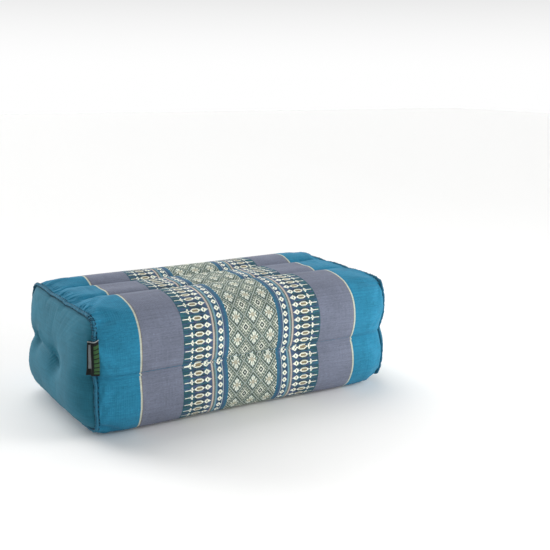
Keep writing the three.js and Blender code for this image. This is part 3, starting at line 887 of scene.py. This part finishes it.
def carriedProfile(path, side, radius, stand, sides):
    # A round profile carried along a closed path, standing off it endwise and outwards
    _, outward = pathWays(path)
    angle = 2 * np.pi * (np.arange(sides) + 0.5) / sides
    ring = outward[:, None] * (stand + radius[:, None] * np.cos(angle))[..., None]
    ring[..., 0] += side * stand + radius[:, None] * np.sin(angle)
    faces = gridFaces(len(path) + 1, sides, wrapRows=True) % (len(path) * sides)
    return (path[:, None] + ring).reshape(-1, 3), faces if side > 0 else faces[:, ::-1]


def threads(centre, share, first, second, flip):
    # Each thread is a bent capsule: rings round its middle line, with a radius that goes to 0 at both ends
    radius = stitching["radius"] * np.sqrt(np.maximum(np.sin(np.pi * share), 0))
    angle = 2 * np.pi * np.arange(stitching["sides"]) / stitching["sides"]
    reach = radius[None, :, None, None]
    turn = angle[None, None, :, None]
    tube = centre[:, :, None] + reach * (first[:, :, None] * np.cos(turn) + second * np.sin(turn))
    one = gridFaces(len(share), stitching["sides"], wrapRows=True)
    size = len(share) * stitching["sides"]
    faces = (one[None] + size * np.arange(len(centre))[:, None, None]).reshape(-1, 4)
    return tube.reshape(-1, 3), faces[:, ::-1] if flip else faces


def stitchRow(path, run, side, endwise, outwards):
    # A row of short threads along a path: each dips in at both ends
    _, outward = pathWays(path)
    line = path + outward * outwards
    line[:, 0] += side * endwise
    total = run[-1] + run[1]
    count = int(total / stitching["pitch"])
    share = np.linspace(0, 1, stitching["rings"])
    jitter = stitching["jitter"] * seed.standard_normal(count)
    where = (np.arange(count) * total / count + jitter)[:, None] + (share * stitching["length"])[None, :]
    out = atRun(where, run, outward)
    rise = stitching["arch"] * np.sin(np.pi * share) - stitching["sink"]
    centre = atRun(where, run, line) + out * rise[None, :, None]
    return threads(centre, share, out, np.array([side, 0, 0]), side < 0)


def overcastLoops(path, run, side):
    # Slanting loops of thread over the seam, where it was closed by hand near a front top corner
    along, outward = pathWays(path)
    share = np.linspace(0, 1, overcast["rings"])
    spots = np.linspace(overcast["first"], overcast["last"], overcast["count"])
    spots = spots + overcast["jitter"] * seed.standard_normal(overcast["count"])
    where = spots[:, None] + overcast["slant"] * share[None, :]
    out = atRun(where, run, outward)
    endwise = np.array([side, 0, 0])
    turn = mix(*overcast["turn"], share)[None, :, None]
    ray = out * np.cos(turn) + endwise * np.sin(turn)
    centre = atRun(where, run, path) + (out + endwise) * ridge["stand"]
    centre = centre + ray * (ridge["radius"] + overcast["lift"])
    return threads(centre, share, ray, atRun(where, run, along)[:, :, None], side > 0)


def joined(parts):  # several meshes as one, their faces renumbered
    points, faces = zip(*parts)
    starts = np.cumsum([0] + [len(p) for p in points])
    return np.concatenate(points), np.concatenate([f + s for f, s in zip(faces, starts)])


for side, label in ((-1, "left"), (1, "right")):
    path, run = ridgePath(side)
    first, second, third = ridge["bumpPhases"]
    bumps = waves(run, ridge["bumpSpacings"], (first, second, third + side))
    radius = ridge["radius"] + ridge["bumps"] * bumps
    first, second, third = ridge["wanderPhases"]
    wander = waves(run, ridge["wanderSpacings"], (first, second + side, third))
    path[:, 0] += side * ridge["wander"] * wander
    # The raised seam, and the folded edges of the cloth under it
    seam = carriedProfile(path, side, radius, ridge["stand"], ridge["sides"])
    foldRadius = np.full(len(path), ridge["foldRadius"])
    edges = carriedProfile(path, side, foldRadius, ridge["foldStand"], ridge["foldSides"])
    piece = makePiece(f"end_seam_{label}", *joined([seam, edges]), seamCotton)
    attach(piece, "root")
    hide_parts(f"end_ridge_{label}")
    rows = [stitchRow(path, run, side, *shift) for shift in stitching["lines"]]
    if side < 0:
        rows.append(overcastLoops(path, run, side))
    thread = makePiece(f"seam_stitches_{label}", *joined(rows), seamThread)
    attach(thread, "root")
print("end seams")

# The folded tab

# panelShares: its columns on the panel, as shares of the half depth; arcShares: those round the seam, in half
# turns; frontShare: how far its end goes towards the front face
tab = dict(bottom=1.8, top=34.5, flatWidth=13.8, thickness=0.8, lift=0.45, reach=1.95, frontReach=2.43,
           frontShare=0.75, picks=33, panelShares=(0.966, 0.973, 0.98, 0.987, 0.994),
           arcShares=(0.05, 0.15, 0.25, 0.35, 0.5), frontSteps=4, slant=0.35)
# Its bands, in picks from the bottom and in columns from the panel round to the front
tabBands = dict(ground="151919", grey="7d8487", green="345533", edge="8d9698", picks=(2, 29), edgePick=31,
                greyPicks=7, greyColumns=(2, 5), greenColumns=8, greenRepeat=4)


def tabLine(up, lift):
    # Over the panel's shoulder, round the seam and onto the front, a little off all of them
    onPanel = panelPoint(-1, -np.array(tab["panelShares"])[None, :], up[:, None], 0.0)
    onPanel = onPanel + unitLength(np.array([-1.0, -tab["slant"], 0])) * lift
    y, z, bow = seamLine(-np.ones_like(up), up, np.full_like(up, -halfLength))
    angle = np.pi * np.array(tab["arcShares"])[None, :]
    reach = tab["reach"] + lift
    arc = np.stack([(-halfLength - bow - ridge["stand"])[:, None] - reach * np.cos(angle),
                    (y - ridge["stand"])[:, None] - reach * np.sin(angle),
                    (block["middle"] + z)[:, None] + 0 * angle], -1)
    front = wrapPoint(np.full_like(up, -endLine + tab["frontReach"]), up / 8)
    front[:, 1] -= lift
    shares = tab["frontShare"] * np.arange(1, tab["frontSteps"] + 1) / tab["frontSteps"]
    return np.concatenate([onPanel, arc, mix(arc[:, -1:], front[:, None], shares[None, :, None])], 1)


def tabTints(columns, faceCount):
    # A grey band woven into the part on the panel, and a green one, broken by dark picks, on the front part
    tints = np.tile(linear(tabBands["ground"]), (faceCount, 1))
    pick, column = np.divmod(np.arange((tab["picks"] - 1) * (columns - 1)), columns - 1)
    inside = (pick >= tabBands["picks"][0]) & (pick < tabBands["picks"][1])
    first, last = tabBands["greyColumns"]
    grey = inside & (column >= first) & (column < last) & (pick >= tabBands["greyPicks"])
    green = inside & (column >= tabBands["greenColumns"]) & (pick % tabBands["greenRepeat"] > 0)
    for band, where in (("grey", grey), ("green", green), ("edge", pick == tabBands["edgePick"])):
        tints[:len(pick)][where] = linear(tabBands[band])
    return tints


up = np.linspace(tab["bottom"], tab["top"], tab["picks"]) / halfHeight
inner, outer = tabLine(up, tab["lift"]), tabLine(up, tab["lift"] + tab["thickness"])
tabPoints, tabFaces = closedSheet(outer, inner, False)
tabPiece = makePiece("folded_tab", tabPoints, tabFaces, ribbon, tints=tabTints(outer.shape[1], len(tabFaces)))
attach(tabPiece, "root")
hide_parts("side_tab")
print("tab")

# Floor, light and camera

# A bright band of backdrop stands all round at the horizon, under a dimmer ceiling. Each lamp is a wide soft
# one far away: its name, spread in radians, strength and the side it comes from. One soft box stands near
# the right end, so that the front gets brighter towards it. Places here are in metres
studio = dict(horizon=1.0, ceiling=0.28, bandTop=0.25, floorColour="f8f8f7", floorHalf=6.0,
              lamps=(("backTop", 1.0, 1.45, (0.1, 1.3, 1.9)), ("rightSide", 0.8, 0.65, (2.0, -0.5, 0.8)),
                     ("frontRight", 0.8, 0.15, (1.5, -1.7, 0.5)), ("leftBack", 0.6, 2.6, (-0.8, 2.0, 0.7))),
              softBox=dict(place=(0.62, -0.62, 0.32), aim=(0.16, 0.0, 0.05), size=0.5, power=5.0))
world = bpy.data.worlds.new("studio")
bpy.context.scene.world = world
world.use_nodes = True
sky = world.node_tree
skyWay = addNode(sky, "ShaderNodeTexCoord").outputs["Generated"]
skyHeight = addNode(sky, "ShaderNodeSeparateXYZ", {0: skyWay}).outputs["Z"]
skyLight = addNode(sky, "ShaderNodeMapRange", {"Value": skyHeight, "From Max": studio["bandTop"],
                                               "To Min": studio["horizon"], "To Max": studio["ceiling"]},
                   interpolation_type="SMOOTHSTEP").outputs[0]
sky.links.new(skyLight, sky.nodes["Background"].inputs["Strength"])
sky.nodes["Background"].inputs["Color"].default_value = (1, 1, 1, 1)


def placeLight(name, kind, strength, place, aim, **settings):
    # A light at its place, turned so that it shines towards its aim
    data = bpy.data.lights.new(name, kind)
    data.energy = strength
    for setting, value in settings.items():
        setattr(data, setting, value)
    light = bpy.data.objects.new(name, data)
    bpy.context.collection.objects.link(light)
    way = (Vector(place) - Vector(aim)).to_track_quat("Z", "Y")
    light.matrix_world = Matrix.Translation(place) @ way.to_matrix().to_4x4()


for name, spread, strength, place in studio["lamps"]:
    placeLight(name, "SUN", strength, place, (0, 0, 0), angle=spread)
softBox = studio["softBox"]
placeLight("nearRight", "AREA", softBox["power"], softBox["place"], softBox["aim"], shape="DISK",
           size=softBox["size"])

# Studio paper: a matt off-white sheet
floorMaterial, floorTree = newMaterial("matteStudioPaper")
paper = addNode(floorTree, "ShaderNodeBsdfPrincipled", {"Base Color": linear(studio["floorColour"]),
                                                        "Roughness": 0.95}).outputs[0]
addNode(floorTree, "ShaderNodeOutputMaterial", {"Surface": paper})
floorMesh = bpy.data.meshes.new("studio_floor")
reach = studio["floorHalf"]
floorMesh.from_pydata([(-reach, -reach, 0), (reach, -reach, 0), (reach, reach, 0), (-reach, reach, 0)], [],
                      [(0, 1, 2, 3)])
floorMesh.materials.append(floorMaterial)
floor = bpy.data.objects.new("studio_floor", floorMesh)
bpy.context.collection.objects.link(floor)

# Where the photo was taken from: place in metres, lens and sensor in millimetres, and the camera's three ways
view = dict(place=(-0.422252, -0.793421, 0.323088), lens=58.42, sensor=36,
            right=(0.84767585, -0.53039553, 0.01123533), up=(0.1076914, 0.19277199, 0.97531611),
            forward=(0.51946916, 0.82554197, -0.2205272))
cameraData = bpy.data.cameras.new("camera")
cameraData.sensor_width = view["sensor"]
cameraData.lens = view["lens"]
camera = bpy.data.objects.new("camera", cameraData)
bpy.context.collection.objects.link(camera)
ways = zip(view["right"], view["up"], view["forward"], view["place"])
camera.matrix_world = Matrix([[r, u, -f, p] for r, u, f, p in ways] + [[0, 0, 0, 1]])
bpy.context.scene.camera = camera
bpy.context.scene.view_settings.view_transform = "Standard"
